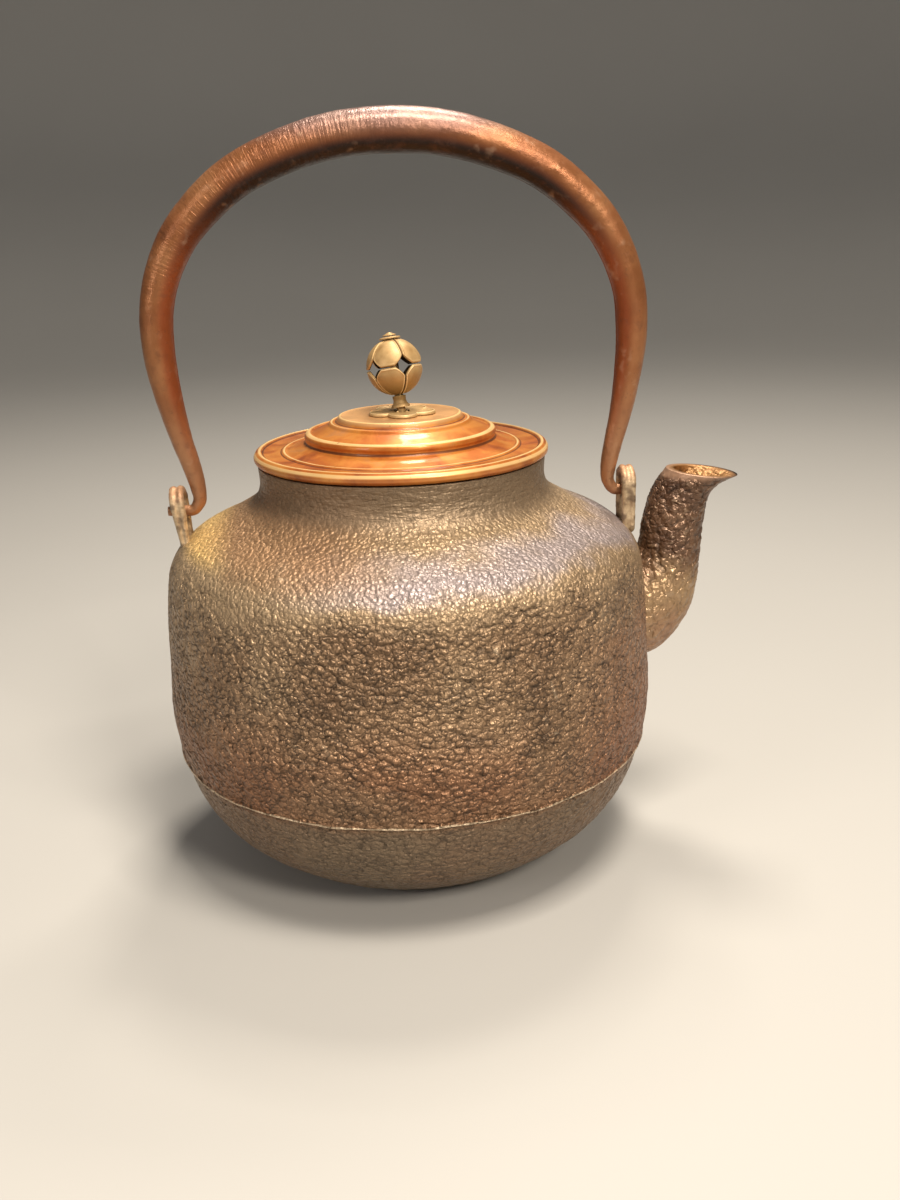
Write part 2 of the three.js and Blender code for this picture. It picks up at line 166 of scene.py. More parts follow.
# ---- curves ----
def curve(points, steps):
    """A smooth line through the points, resampled evenly to steps + 1 rows."""
    samples = 40
    points = np.array(points, float)
    ends = np.vstack([2 * points[0] - points[1], points, 2 * points[-1] - points[-2]])
    rows = []
    for i in range(len(points) - 1):
        p0, p1, p2, p3 = ends[i : i + 4]
        t = np.linspace(0, 1, samples, endpoint=False)[:, None]
        rows.append(0.5 * (2 * p1 + (p2 - p0) * t + (2 * p0 - 5 * p1 + 4 * p2 - p3) * t**2
                           + (3 * p1 - p0 - 3 * p2 + p3) * t**3))
    return resample(np.vstack([*rows, points[-1:]]), steps)


def resample(line, steps):
    """The same line with its rows spread evenly along the length that its first two columns draw."""
    lengths = np.linalg.norm(np.diff(line[:, :2], axis=0), axis=1)
    along = np.concatenate([[0], np.cumsum(lengths)])
    even = np.linspace(0, along[-1], steps + 1)
    return np.stack([np.interp(even, along, column) for column in line.T], 1)


def polyline(points, spacing):
    """Straight stretches between the points, with rows about `spacing` apart and every corner kept."""
    points = np.array(points, float)
    rows = [points[:1]]
    for start, end in zip(points, points[1:]):
        count = max(1, round(np.linalg.norm(end - start) / spacing))
        rows.append(start + (end - start) * np.linspace(0, 1, count + 1)[1:, None])
    return np.vstack(rows)


def rounded(points, radius, spacing):
    """A polyline whose corners are rounded by moving averages over about `radius`."""
    line = polyline(points, spacing)
    for _ in range(max(1, round((radius / spacing) ** 2))):
        line[1:-1] = (line[:-2] + 2 * line[1:-1] + line[2:]) / 4
    return line


def normals_2d(line):
    """Unit normals of a [radius, height] line that runs upwards, pointing out."""
    tangent = np.gradient(line, axis=0)
    tangent /= np.linalg.norm(tangent, axis=1)[:, None] + 1e-12
    return np.stack([tangent[:, 1], -tangent[:, 0]], 1)


# ---- meshes ----
def revolve(line, columns):
    """Points (rows, columns, 3) of a [radius, height] line turned about Z."""
    angle = np.arange(columns) / columns * TAU
    radius, height = line[:, :1], line[:, 1:2]
    level = np.broadcast_to(height, (len(line), columns))
    return np.stack([radius * np.cos(angle), radius * np.sin(angle), level], 2)


def surface_normals(points):
    """Unit normals of a grid whose columns wrap round."""
    down = np.gradient(points, axis=0)
    across = np.roll(points, -1, 1) - np.roll(points, 1, 1)
    normal = np.cross(across, down)
    return normal / (np.linalg.norm(normal, axis=2)[..., None] + 1e-12)


def make_object(name, vertices, faces, shades, body, material, replaced):
    mesh = bpy.data.meshes.new(name)
    mesh.from_pydata((np.asarray(vertices) * MM).tolist(), [], faces)
    mesh.polygons.foreach_set("use_smooth", [True] * len(mesh.polygons))
    for shade, values in shades.items():
        layer = mesh.attributes.new(shade, "FLOAT", "POINT")
        layer.data.foreach_set("value", values.astype(np.float32))
    mesh.materials.append(material)
    mesh.update()
    piece = bpy.data.objects.new(name, mesh)
    bpy.context.scene.collection.objects.link(piece)
    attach(piece, body)
    if replaced:
        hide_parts(*replaced)
    return piece


def skin(name, points, body, slot, material, replaced, ring=False, **shades):
    """A closed mesh from a grid whose columns wrap round. A ring's rows wrap round too; otherwise its two end
    rows are closed with fans. Shades are values for each point that the material reads."""
    rows, columns = points.shape[:2]
    vertices = points.reshape(-1, 3)
    shades = {shade: np.broadcast_to(values, (rows, columns)).reshape(-1) for shade, values in shades.items()}
    here = np.arange(rows * columns).reshape(rows, columns)
    right = np.roll(here, -1, 1)
    if ring:
        above, above_right = np.roll(here, -1, 0), np.roll(right, -1, 0)
        faces = np.stack([here, right, above_right, above], 2).reshape(-1, 4).tolist()
    else:
        faces = np.stack([here[:-1], right[:-1], right[1:], here[1:]], 2).reshape(-1, 4).tolist()
        vertices = np.vstack([vertices, points[0].mean(0), points[-1].mean(0)])
        shades = {shade: np.append(values, values[[0, -1]]) for shade, values in shades.items()}
        first, last = rows * columns, rows * columns + 1
        faces += [[b, a, first] for a, b in zip(here[0].tolist(), right[0].tolist())]
        faces += [[a, b, last] for a, b in zip(here[-1].tolist(), right[-1].tolist())]
    return make_object(name, vertices, faces, shades, body, material, replaced)


# ---- materials ----
class Material:
    """A small helper that builds a node material around one Principled shader."""

    def __init__(self, name):
        self.material = bpy.data.materials.new(name)
        self.material.use_nodes = True
        self.tree = self.material.node_tree
        self.shader = self.tree.nodes["Principled BSDF"]
        self.place = self.node("ShaderNodeTexCoord").outputs["Object"]

    def node(self, kind, **settings):
        made = self.tree.nodes.new(kind)
        for key, value in settings.items():
            setattr(made, key, value)
        return made

    def feed(self, value, socket):
        if isinstance(value, bpy.types.NodeSocket):
            self.tree.links.new(value, socket)
        else:
            socket.default_value = value

    def set(self, **values):
        for key, value in values.items():
            self.feed(value, self.shader.inputs[key.replace("_", " ")])

    def noise(self, size, detail=4, roughness=0.55, distortion=0.0, stretch=(1, 1, 1), place=None):
        """Noise with features of about `size` millimetres, at a point of the object or at a given place."""
        mapping = self.node("ShaderNodeMapping")
        self.feed(place or self.place, mapping.inputs["Vector"])
        mapping.inputs["Scale"].default_value = stretch
        made = self.node("ShaderNodeTexNoise")
        self.feed(mapping.outputs[0], made.inputs["Vector"])
        for key, value in (("Scale", 1 / (size * MM)), ("Detail", detail), ("Roughness", roughness),
                           ("Distortion", distortion)):
            made.inputs[key].default_value = value
        return made.outputs["Fac"]

    def ramp(self, value, *stops):
        """A colour ramp: stops of (position, colour)."""
        made = self.node("ShaderNodeValToRGB")
        self.feed(value, made.inputs["Fac"])
        elements = made.color_ramp.elements
        while len(elements) < len(stops):
            elements.new(0.5)
        for element, (position, colour) in zip(elements, stops):
            element.position = position
            element.color = (*colour, 1)
        return made.outputs["Color"]

    def mix(self, share, low, high):
        made = self.node("ShaderNodeMix", data_type="RGBA")
        self.feed(share, made.inputs["Factor"])
        for value, socket in ((low, made.inputs[6]), (high, made.inputs[7])):
            self.feed((*value, 1) if isinstance(value, tuple) else value, socket)
        return made.outputs[2]

    def maths(self, operation, a, b=0.0):
        made = self.node("ShaderNodeMath", operation=operation)
        self.feed(a, made.inputs[0])
        self.feed(b, made.inputs[1])
        return made.outputs[0]

    def product(self, first, *others):
        """The values multiplied together."""
        for other in others:
            first = self.maths("MULTIPLY", first, other)
        return first

    def tint(self, base, colour, *shares):
        """The base mixed towards a colour by the product of the shares."""
        return self.mix(self.product(*shares), base, colour)

    def between(self, value, low, high, to_low=0.0, to_high=1.0):
        """Maps a value smoothly from low..high to to_low..to_high."""
        made = self.node("ShaderNodeMapRange", interpolation_type="SMOOTHSTEP")
        for socket, given in zip(made.inputs, (value, low, high, to_low, to_high)):
            self.feed(given, socket)
        return made.outputs["Result"]

    def pebbles(self, size, stretch=(1, 1, 1)):
        """The height of noise-bent pebbles of about `size`, 1 on top, and the creases between them."""
        bend = self.node("ShaderNodeTexNoise")
        self.feed(self.place, bend.inputs["Vector"])
        self.feed(0.9 / (size * MM), bend.inputs["Scale"])
        moved = self.node("ShaderNodeVectorMath", operation="MULTIPLY_ADD")
        self.feed(bend.outputs["Color"], moved.inputs[0])
        moved.inputs[1].default_value = (size * MM * 1.2,) * 3
        self.feed(self.place, moved.inputs[2])
        shape = self.node("ShaderNodeMapping")
        self.feed(moved.outputs[0], shape.inputs["Vector"])
        shape.inputs["Scale"].default_value = stretch
        distances = []
        for feature in ("F1", "DISTANCE_TO_EDGE"):
            cells = self.node("ShaderNodeTexVoronoi", feature=feature)
            self.feed(shape.outputs[0], cells.inputs["Vector"])
            self.feed(1 / (size * MM), cells.inputs["Scale"])
            distances.append(cells.outputs["Distance"])
        fall = self.product(self.maths("POWER", distances[0], 2.0), 1.7)
        return self.maths("SUBTRACT", 1.0, fall), self.between(distances[1], 0.02, 0.16, 1, 0)

    def axis(self, letter):
        """A coordinate of the point, in millimetres."""
        made = self.node("ShaderNodeSeparateXYZ")
        self.feed(self.place, made.inputs[0])
        return self.product(made.outputs[letter], 1 / MM)

    def shade(self, name):
        """A value stored on the mesh, such as how high a point of its relief stands."""
        return self.node("ShaderNodeAttribute", attribute_name=name).outputs["Fac"]

    def bumps(self, *layers):
        """Fine bump from (height, strength, distance in millimetres) layers."""
        normal = None
        for height, strength, distance in layers:
            made = self.node("ShaderNodeBump")
            self.feed(height, made.inputs["Height"])
            self.feed(strength, made.inputs["Strength"])
            made.inputs["Distance"].default_value = distance * MM
            if normal is not None:
                self.feed(normal, made.inputs["Normal"])
            normal = made.outputs["Normal"]
        self.feed(normal, self.shader.inputs["Normal"])


def body_colour(m, height, level, neck):
    """The body's patches of colour and a painted highlight along the left of its shoulder, before its grain.
    `level` is the height with a slow wander.
    """
    along = m.axis("X")
    patches = m.noise(42, detail=2, distortion=0.4)
    base = m.ramp(patches, (0.3, (0.22, 0.132, 0.073)), (0.5, (0.31, 0.198, 0.113)),
                  (0.68, (0.385, 0.265, 0.158)))
    base = m.tint(base, (0.24, 0.1, 0.045), m.between(level, 85, 50), m.between(patches, 0.3, 0.65), 0.8)
    base = m.tint(base, (0.27, 0.125, 0.07), m.between(along, 40, 78), m.between(level, 100, 85), 0.6)
    base = m.tint(base, (0.19, 0.15, 0.1), m.between(height, SEAM_HEIGHT + 0.8, SEAM_HEIGHT - 3.7), 0.6)
    base = m.tint(base, (0.4, 0.29, 0.175), m.between(level, 98, 112), 0.7)
    lilac = m.product(m.between(level, 108.5, 114), m.between(level, 123, 115))
    base = m.tint(base, (0.36, 0.31, 0.33), lilac, m.between(along, -50, 0, 0, 0.8))
    base = m.tint(base, (0.34, 0.18, 0.085), m.between(level, 112, 119), m.between(along, 0, -30), 0.65)
    # Painted highlight: a golden rim of light along the far left of the upper shoulder.
    base = m.tint(base, (0.78, 0.52, 0.2), m.between(along, -54, -68), m.between(height, 111, 115.5), 0.85)
    return m.tint(base, (0.16, 0.112, 0.072), neck, 0.65)


def body_material():
    m = Material("cast_iron_body")
    relief, height = m.shade("relief"), m.axis("Z")
    level = m.maths("ADD", height, m.product(m.maths("SUBTRACT", m.noise(30, detail=3), 0.5), 20))
    neck = m.between(height, 122, 128)
    base = body_colour(m, height, level, neck)
    grain, grain_creases = m.pebbles(2.5, (0.85, 0.85, 1.5))
    fine, fine_creases = m.pebbles(1.4)
    coarse_share = m.product(m.between(level, 111, 102),
                             m.between(height, SEAM_HEIGHT - 3.7, SEAM_HEIGHT + 0.8, 0.7, 1))
    surface = m.mix(coarse_share, fine, grain)
    creases = m.mix(coarse_share, m.product(fine_creases, 0.45), grain_creases)
    broken = m.between(m.noise(6, detail=2), 0.38, 0.6, 0.1, 0.65)
    # Painted shade: the creases between the grains are darkened, in patches broken up by noise.
    base = m.tint(base, (0.04, 0.025, 0.016), creases, broken)
    # Painted shade where the relief is low: between the cast grains, in the shoulder crack and in the groove
    # under the mould line.
    base = m.tint(base, (0.03, 0.018, 0.01), m.between(relief, -0.5, 0.05, 0.7, 0))
    # Painted highlight where the share rises above 1: along the mould line's raised fin and on the highest
    # grains.
    base = m.tint(base, (0.72, 0.57, 0.4), m.between(relief, 1.0, 1.3, 0, 0.9))
    m.set(Base_Color=base, Metallic=0.55, Specular_IOR_Level=0.6,
          Roughness=m.between(surface, 0.2, 0.9, 0.56, 0.38))
    striations = m.noise(2.4, detail=4, stretch=(0.4, 0.4, 1.8))
    m.bumps((grain, coarse_share, 1.35), (fine, m.between(neck, 0, 1, 0.9, 0.3), 0.45),
            (m.noise(1.5, detail=3), 0.6, 0.35), (striations, m.product(neck, 0.9), 0.9))
    return m.material


def spout_material():
    m = Material("cast_iron_spout")
    relief, height = m.shade("relief"), m.axis("Z")
    patches = m.noise(14, detail=5, distortion=0.5)
    base = m.ramp(patches, (0.3, (0.075, 0.036, 0.02)), (0.55, (0.13, 0.068, 0.038)),
                  (0.72, (0.19, 0.105, 0.06)))
    level = m.maths("ADD", height, m.product(patches, 30))
    base = m.tint(base, (0.4, 0.26, 0.14), m.between(level, 119, 104, 0, 0.85))
    base = m.tint(base, (0.33, 0.17, 0.105), m.between(level, 100, 86, 0, 0.6))
    # Painted shade in the hollows of the relief, strongest on the upper spout.
    hollow_shade = m.between(relief, -0.1, 0.3, 0.6, 0)
    base = m.tint(base, (0.03, 0.016, 0.01), hollow_shade, m.between(level, 100, 118, 0.25, 1))
    base = m.tint(base, (0.42, 0.3, 0.2), m.between(relief, 0.5, 0.95, 0, 0.35))
    lip = m.between(height, 126, 128.5)
    base = m.tint(base, (0.48, 0.29, 0.19), lip, 0.75)
    base = m.tint(base, (0.34, 0.17, 0.06), m.shade("inner"), m.between(height, 100, 120))
    m.set(Base_Color=base, Metallic=0.5, Specular_IOR_Level=0.7,
          Roughness=m.between(relief, -0.2, 0.8, 0.46, 0.3))
    worms = m.product(m.between(level, 100, 118, 0.7, 0.85), m.between(lip, 0, 1, 1, 0.2))
    m.bumps((m.pebbles(2.6)[0], worms, 0.8), (m.noise(0.9, detail=4, roughness=0.6), 0.25, 0.2))
    return m.material


def lug_material():
    m = Material("lug_iron")
    base = m.ramp(m.noise(5, detail=6, roughness=0.7), (0.3, (0.26, 0.17, 0.1)), (0.5, (0.47, 0.35, 0.22)),
                  (0.7, (0.64, 0.51, 0.34)))
    # Painted shade in the low spots of the relief.
    base = m.tint(base, (0.09, 0.055, 0.035), m.between(m.shade("relief"), -0.4, 0.2, 0.7, 0))
    base = m.tint(base, (0.5, 0.24, 0.12), m.between(m.axis("Z"), 126, 131, 0, 0.6))
    m.set(Base_Color=base, Metallic=0.4, Roughness=m.between(m.noise(2, detail=3), 0.3, 0.7, 0.4, 0.6))
    m.bumps((m.noise(0.8, detail=5, roughness=0.65), 0.6, 0.3))
    return m.material


def handle_material():
    m = Material("forged_iron")
    relief, height, inner = m.shade("relief"), m.axis("Z"), m.shade("inner")
    patches = m.noise(24, detail=4, distortion=0.3)
    base = m.ramp(patches, (0.3, (0.17, 0.054, 0.019)), (0.5, (0.27, 0.102, 0.038)),
                  (0.7, (0.36, 0.165, 0.07)))
    # Painted highlight: a purple-grey sheen of light along the top of the arch.
    base = m.tint(base, (0.2, 0.165, 0.18), m.between(height, 236, 247, 0, 0.6))
    base = m.tint(base, (0.22, 0.045, 0.01), inner, 0.8)
    # Painted shade: the underside of the arch is turned nearly black.
    base = m.tint(base, (0.012, 0.005, 0.003), inner, m.between(height, 195, 225))
    base = m.tint(base, (0.38, 0.2, 0.105), m.between(height, 168, 135, 0, 0.65))
    pits = m.between(m.noise(1.6, detail=5, roughness=0.75), 0.55, 0.72, 0, 0.45)
    base = m.tint(base, (0.1, 0.045, 0.026), pits)
    # Painted shade in the low spots of the hammered relief.
    base = m.tint(base, (0.1, 0.04, 0.024), m.between(relief, -0.1, -0.6, 0, 0.4))
    base = m.tint(base, (0.55, 0.36, 0.24), m.between(relief, 0.2, 0.6, 0, 0.25))
    base = m.tint(base, (0.02, 0.008, 0.005), m.shade("seam"))
    m.set(Base_Color=base, Metallic=0.5, Specular_IOR_Level=0.45,
          Roughness=m.between(m.noise(8, detail=4), 0.35, 0.65, 0.29, 0.42))
    # Hammer marks run across the handle, so they change along its length and hardly across it.
    hammered = m.node("ShaderNodeCombineXYZ")
    m.feed(m.shade("length"), hammered.inputs["X"])
    m.feed(m.product(m.axis("Y"), 0.25 * MM), hammered.inputs["Y"])
    marks = m.noise(1.5, detail=3, roughness=0.7, place=hammered.outputs[0])
    upper_left = m.product(m.between(m.axis("X"), 10, -30), m.between(height, 180, 210))
    m.bumps((m.noise(1.6, detail=5, roughness=0.7), 0.5, 0.3), (marks, upper_left, 0.5))
    return m.material


def copper_material():
    m = Material("copper")
    relief, height = m.shade("relief"), m.axis("Z")
    patches = m.noise(13, detail=5, distortion=0.6)
    base = m.ramp(patches, (0.3, (0.23, 0.052, 0.01)), (0.45, (0.41, 0.115, 0.016)),
                  (0.6, (0.52, 0.195, 0.034)), (0.75, (0.43, 0.18, 0.06)))
    base = m.tint(base, (0.27, 0.085, 0.04), m.between(m.axis("Y"), 0, 45, 0, 0.6))
    flat_middle = m.between(height, LID_DISC_HEIGHT - 1.6, LID_DISC_HEIGHT - 0.3, 0, 0.8)
    base = m.tint(base, (0.58, 0.34, 0.15), flat_middle)
    # Painted highlights on the lid's beads and rim, and painted shade in its grooves, from the relief rings.
    base = m.tint(base, (0.75, 0.5, 0.22), m.between(relief, 0.2, 0.8, 0, 0.9))
    base = m.tint(base, (0.1, 0.03, 0.012), m.between(relief, -0.15, -0.6, 0, 0.85))
    specks = m.between(m.noise(3, detail=3, roughness=0.7), 0.66, 0.74, 0, 0.5)
    base = m.tint(base, (0.14, 0.045, 0.02), specks)
    m.set(Base_Color=base, Metallic=0.35, Coat_Weight=0.25, Coat_Roughness=0.08, Specular_IOR_Level=0.35,
          Roughness=m.between(m.noise(9, detail=4), 0.35, 0.65, 0.36, 0.5))
    m.bumps((m.noise(2.5, detail=4), 0.15, 0.15))
    return m.material


def bronze_material():
    m = Material("bronze")
    relief, height = m.shade("relief"), m.axis("Z")
    patches = m.noise(6, detail=5, distortion=0.3)
    base = m.ramp(patches, (0.3, (0.34, 0.2, 0.075)), (0.5, (0.45, 0.29, 0.125)), (0.7, (0.52, 0.35, 0.165)))
    # Painted shade: the lower half of the ball and the bush under it are darkened.
    base = m.tint(base, (0.2, 0.12, 0.035), m.between(height, 169, 160), m.between(height, 154.8, 158), 0.85)
    # Painted shade where the relief is low: in the seams between petals, inside the ball and along the seat's
    # inner lines.
    base = m.tint(base, (0.05, 0.028, 0.012), m.between(relief, -0.1, -0.8, 0, 0.85))
    base = m.tint(base, (0.8, 0.6, 0.33), m.between(relief, 0.3, 0.9, 0, 0.7))
    m.set(Base_Color=base, Metallic=0.4, Specular_IOR_Level=0.5,
          Roughness=m.between(m.noise(3, detail=4), 0.35, 0.65, 0.45, 0.58))
    m.bumps((m.noise(0.8, detail=4, roughness=0.6), 0.25, 0.12))
    return m.material


# ---- kettle body ----
BODY_ROWS = 350
BODY_COLUMNS = 940
INSIDE_STEP = 8  # the plain inside has one row for so many of the outside's


def body_relief(points):
    """Relief of the cast skin: how far each point stands out, and its share for the colours."""
    height = points[:, 2]
    # The grain slants: it follows a slow twist about the kettle's axis.
    twist = 0.005 * height
    x, y = points[:, 0], points[:, 1]
    cosine, sine = np.cos(twist), np.sin(twist)
    turned = np.stack([x * cosine - y * sine, x * sine + y * cosine, height], 1)
    bent = warped(warped(turned, 9, 1.6, 11), 3, 0.9, 14)
    coarse = 0.6 * noise(bent, 2.6, 31) + 0.5
    fine = 0.3 * noise(bent, 1.6, 24) + 0.7
    edge = height + 3 * noise(points, 20, 45)
    shoulder = smoothstep(102, 110, edge)
    neck = smoothstep(121, 129, height)
    low = smoothstep(SEAM_HEIGHT + 1, SEAM_HEIGHT - 2, height)
    share = coarse * (1 - shoulder) + fine * shoulder
    share *= (1 + 0.25 * fractal(points, 16, 2, 41)) * (1 - 0.25 * low) * (1 - 0.4 * neck)
    depth = 0.32 - 0.18 * shoulder
    crack = shoulder_crack(points)
    # The crack also lowers the share, which the material paints darker as shade.
    return (share - 1) * depth - 0.45 * crack, share - 0.9 * crack


def shoulder_crack(points):
    """A broken crack that wanders round the kettle where the smooth shoulder meets the coarse skin."""
    round_about = points * [1, 1, 0]
    line = 107 + 2.6 * noise(round_about, 18, 46) + 1.2 * noise(round_about, 3.5, 47)
    broken = smoothstep(0.0, 0.25, noise(round_about, 15, 48))
    return bump(points[:, 2], line, 0.4) * broken


def body_section():
    """The body's closed section as [radius, height] rows, and which of the rows are rough cast skin."""
    smooth = curve(BODY_OUTLINE, BODY_ROWS)
    normal = normals_2d(smooth)
    # The skin steps in a little under the mould line.
    step = -0.25 * smoothstep(SEAM_HEIGHT, SEAM_HEIGHT - 1.5, smooth[:, 1])
    outside = smooth + normal * step[:, None]
    inside = (outside - normal * WALL)[::INSIDE_STEP][::-1]
    inside = inside[(inside[:, 1] > WALL) & (inside[:, 1] < MOUTH_HEIGHT - 2)]
    rim = [(MOUTH_RADIUS - 0.5, MOUTH_HEIGHT), (MOUTH_RADIUS - WALL + 0.6, MOUTH_HEIGHT),
           (MOUTH_RADIUS - WALL, MOUTH_HEIGHT - 0.6)]
    floor = [(BASE_RADIUS - 2, WALL), (30, WALL), (1, WALL)]
    base = [(1, 0.25), (30, 0.25), (BASE_RADIUS - 4, 0.2), (BASE_RADIUS - 1, 0)]
    line = np.vstack([base, outside, rim, inside, floor])
    row = np.arange(len(line))[:, None]
    return line, (row >= len(base) + 2) & (row < len(base) + len(outside) - 1)


def with_mould_line(points, depth, share, on_skin):
    """The relief with the mould line's raised fin and the groove under it. The fin's share is raised for a
    painted highlight, and the groove's is lowered for painted shade.
    """
    wander = noise(points.reshape(-1, 3) * [1, 1, 0], 9, 49).reshape(depth.shape)
    seam_height = SEAM_HEIGHT + 0.35 * wander
    ridge = bump(points[..., 2], seam_height, 0.65) * on_skin
    groove = bump(points[..., 2], seam_height - 1.0, 0.5) * on_skin
    depth = depth * (1 - ridge) + 0.5 * ridge - 0.3 * groove
    share = share * (1 - ridge) * (1 - 0.8 * groove) + 1.5 * ridge
    return depth, share


def build_body(material):
    line, on_skin = body_section()
    points = revolve(line, BODY_COLUMNS)
    relief = [values.reshape(points.shape[:2]) * on_skin for values in body_relief(points.reshape(-1, 3))]
    depth, share = with_mould_line(points, *relief, on_skin)
    points = points + surface_normals(points) * depth[..., None]
    return skin("body_skin", points, "kettle", "cast_iron_body", material, ["kettle_body"], relief=share)


# ---- spout ----
def spout_points(rows, columns, wall):
    """Sections of the spout from root to lip, made smaller all round by `wall`."""
    stations = np.array([[*inner, *outer, half] for inner, outer, half in SPOUT_SECTIONS])
    line = curve(stations, rows)
    angle = np.arange(columns) / columns * TAU
    inner, outer, half = line[:, 0:2], line[:, 2:4], line[:, 4:]
    middle, reach = (inner + outer) / 2, (outer - inner) / 2
    reach = reach * (1 - wall / np.linalg.norm(reach, axis=1))[:, None]
    plane = middle[:, None] + reach[:, None] * np.cos(angle)[None, :, None]
    across = (half - wall) * np.sin(angle)
    return np.stack([plane[..., 0], across, plane[..., 1]], 2)


def build_spout(material):
    rows, columns = 230, 240
    outside = spout_points(rows, columns, 0)
    inside = spout_points(60, columns, SPOUT_WALL)[::-1]
    flat = outside.reshape(-1, 3)
    bent = warped(warped(flat * [1, 1, 1.5], 6, 2.4, 51), 2.2, 0.8, 54)
    share = 0.6 * pebbles(bent, 2.4, 61) + 0.6 * fractal(bent, 2.6, 2, 71)
    lip = smoothstep(128.6, 125.8, flat[:, 2] + 0.1 * (flat[:, 0] - 100))
    share = share * (0.12 + 0.88 * lip)
    depth = (share * 0.55 - 0.35) * (0.1 + 0.9 * lip)
    outside = outside + surface_normals(outside) * depth.reshape(rows + 1, columns)[..., None]
    points = np.concatenate([outside, inside])
    relief = np.concatenate([share.reshape(rows + 1, columns), np.zeros(inside.shape[:2])])
    inner = (np.arange(len(points)) > rows)[:, None] * 1.0
    return skin("spout_skin", points, "kettle", "cast_iron_spout", material, ["spout"], ring=True,
                relief=relief, inner=inner)


# ---- lugs ----
def lug_path():
    """The loop that the band's middle follows, as [across, height] rows, and its outward directions."""
    half = LUG_WIDTH / 2
    radius = half - LUG_BAND / 2
    top = LUG_TOP - half
    arc = [(radius * math.cos(a), top + radius * math.sin(a)) for a in np.linspace(0, math.pi, 24)]
    path = rounded([(radius, LUG_FOOT), *arc, (-radius, LUG_FOOT), (radius, LUG_FOOT)], 1.0, 0.5)
    path = resample(path, 220)[:-1]
    tangent = np.roll(path, -1, 0) - np.roll(path, 1, 0)
    tangent /= np.linalg.norm(tangent, axis=1)[:, None]
    return path, np.stack([tangent[:, 1], -tangent[:, 0]], 1)


def lug_band():
    """Widths and thicknesses round the band's section, with a groove along the middle of its outer face."""
    angle = np.arange(48) / 48 * TAU
    wide = np.sign(np.sin(angle)) * np.abs(np.sin(angle)) ** 0.7 * LUG_STRAP / 2
    thick = np.sign(np.cos(angle)) * np.abs(np.cos(angle)) ** 0.7 * LUG_BAND / 2
    return wide, thick - 0.55 * bump(wide, 0, 0.9) * (np.cos(angle) > 0)


def build_lug(name, place, lean, foot_share, node, material):
    """An upright loop of grooved band. Its width at the foot is `foot_share` of that at the top."""
    path, outward = lug_path()
    wide, thick = lug_band()
    plane = path[:, None] + outward[:, None] * thick[None, :, None]
    taper = foot_share + (1 - foot_share) * smoothstep(LUG_FOOT, 127, plane[..., 1])
    points = np.stack([wide[None, :] * taper, plane[..., 0], plane[..., 1] - HINGE_HEIGHT], 2)
    points = points @ np.array(Matrix.Rotation(lean, 3, "Y")).T + [place, 0, HINGE_HEIGHT]
    share = (fractal(points.reshape(-1, 3), 2.2, 3, 81) * 0.8).reshape(points.shape[:2])
    points = points + surface_normals(points) * (share * 0.22)[..., None]
    return skin(name, points, "kettle", "lug_iron", material, [node], ring=True, relief=share)


# ---- handle ----
def handle_line(rows):
    """The handle's centre line with its radii, from the tip of the rear hook to the tip of the other."""
    stations = np.array([(-x, z, r) for x, z, r in HANDLE_STATIONS[:0:-1]] + HANDLE_STATIONS)
    stations[0, 0] -= REAR_HOOK_EXTRA
    stations[:, 0] += HANDLE_SKEW * (HANDLE_TOP - stations[:, 1]) / (HANDLE_TOP - HINGE_HEIGHT)
    return curve(stations, rows)


def build_handle(material):
    rows, columns = 640, 120
    line = handle_line(rows)
    tangent = np.gradient(line[:, :2], axis=0)
    length = np.cumsum(np.linalg.norm(tangent, axis=1))[:, None] * MM
    tangent /= np.linalg.norm(tangent, axis=1)[:, None]
    outward = np.stack([-tangent[:, 1], tangent[:, 0]], 1)
    angle = np.arange(columns) / columns * TAU
    along = np.abs(np.linspace(-1, 1, rows + 1))[:, None]
    # The folded seam runs along the inside of the arch and closes towards the hooks.
    seam = bump(np.abs(angle - math.pi), 0, 0.1)[None, :] * smoothstep(0.8, 0.7, along)
    radius = line[:, 2:] - 1.3 * seam
    plane = line[:, None, :2] + outward[:, None] * (radius * np.cos(angle))[..., None]
    points = np.stack([plane[..., 0], -radius * np.sin(angle), plane[..., 1]], 2)
    flat = points.reshape(-1, 3)
    marks = fractal(flat, 5, 3, 91) * 0.5 + fractal(flat, 1.6, 2, 95) * 0.35
    share = marks.reshape(points.shape[:2])
    end = smoothstep(0.72, 0.9, along)
    depth = (share - 0.5) * (0.16 + 0.12 * end)
    points = points + surface_normals(points) * depth[..., None]
    return skin("handle_skin", points, "bail", "forged_iron", material, ["handle"], relief=share,
                inner=smoothstep(-0.05, 0.55, -np.cos(angle))[None, :], seam=seam, length=length)


# ---- lid ----
# Rings of painted highlight along the beads and rim, and rings of painted shade in the grooves and under the
# steps: radius, width and the height they are above.
LID_HIGHLIGHT_RINGS = [(47.3, 0.8, 142), (48.9, 0.5, 139.9), (39.2, 0.5, 141.5), (31, 1.5, 145),
                    (22.9, 0.5, 149), (20.1, 0.55, 152)]
LID_SHADE_RINGS = [(46.3, 0.5, 141), (31.9, 0.4, 143.9), (40.2, 0.4, 141), (21.5, 0.4, 150)]


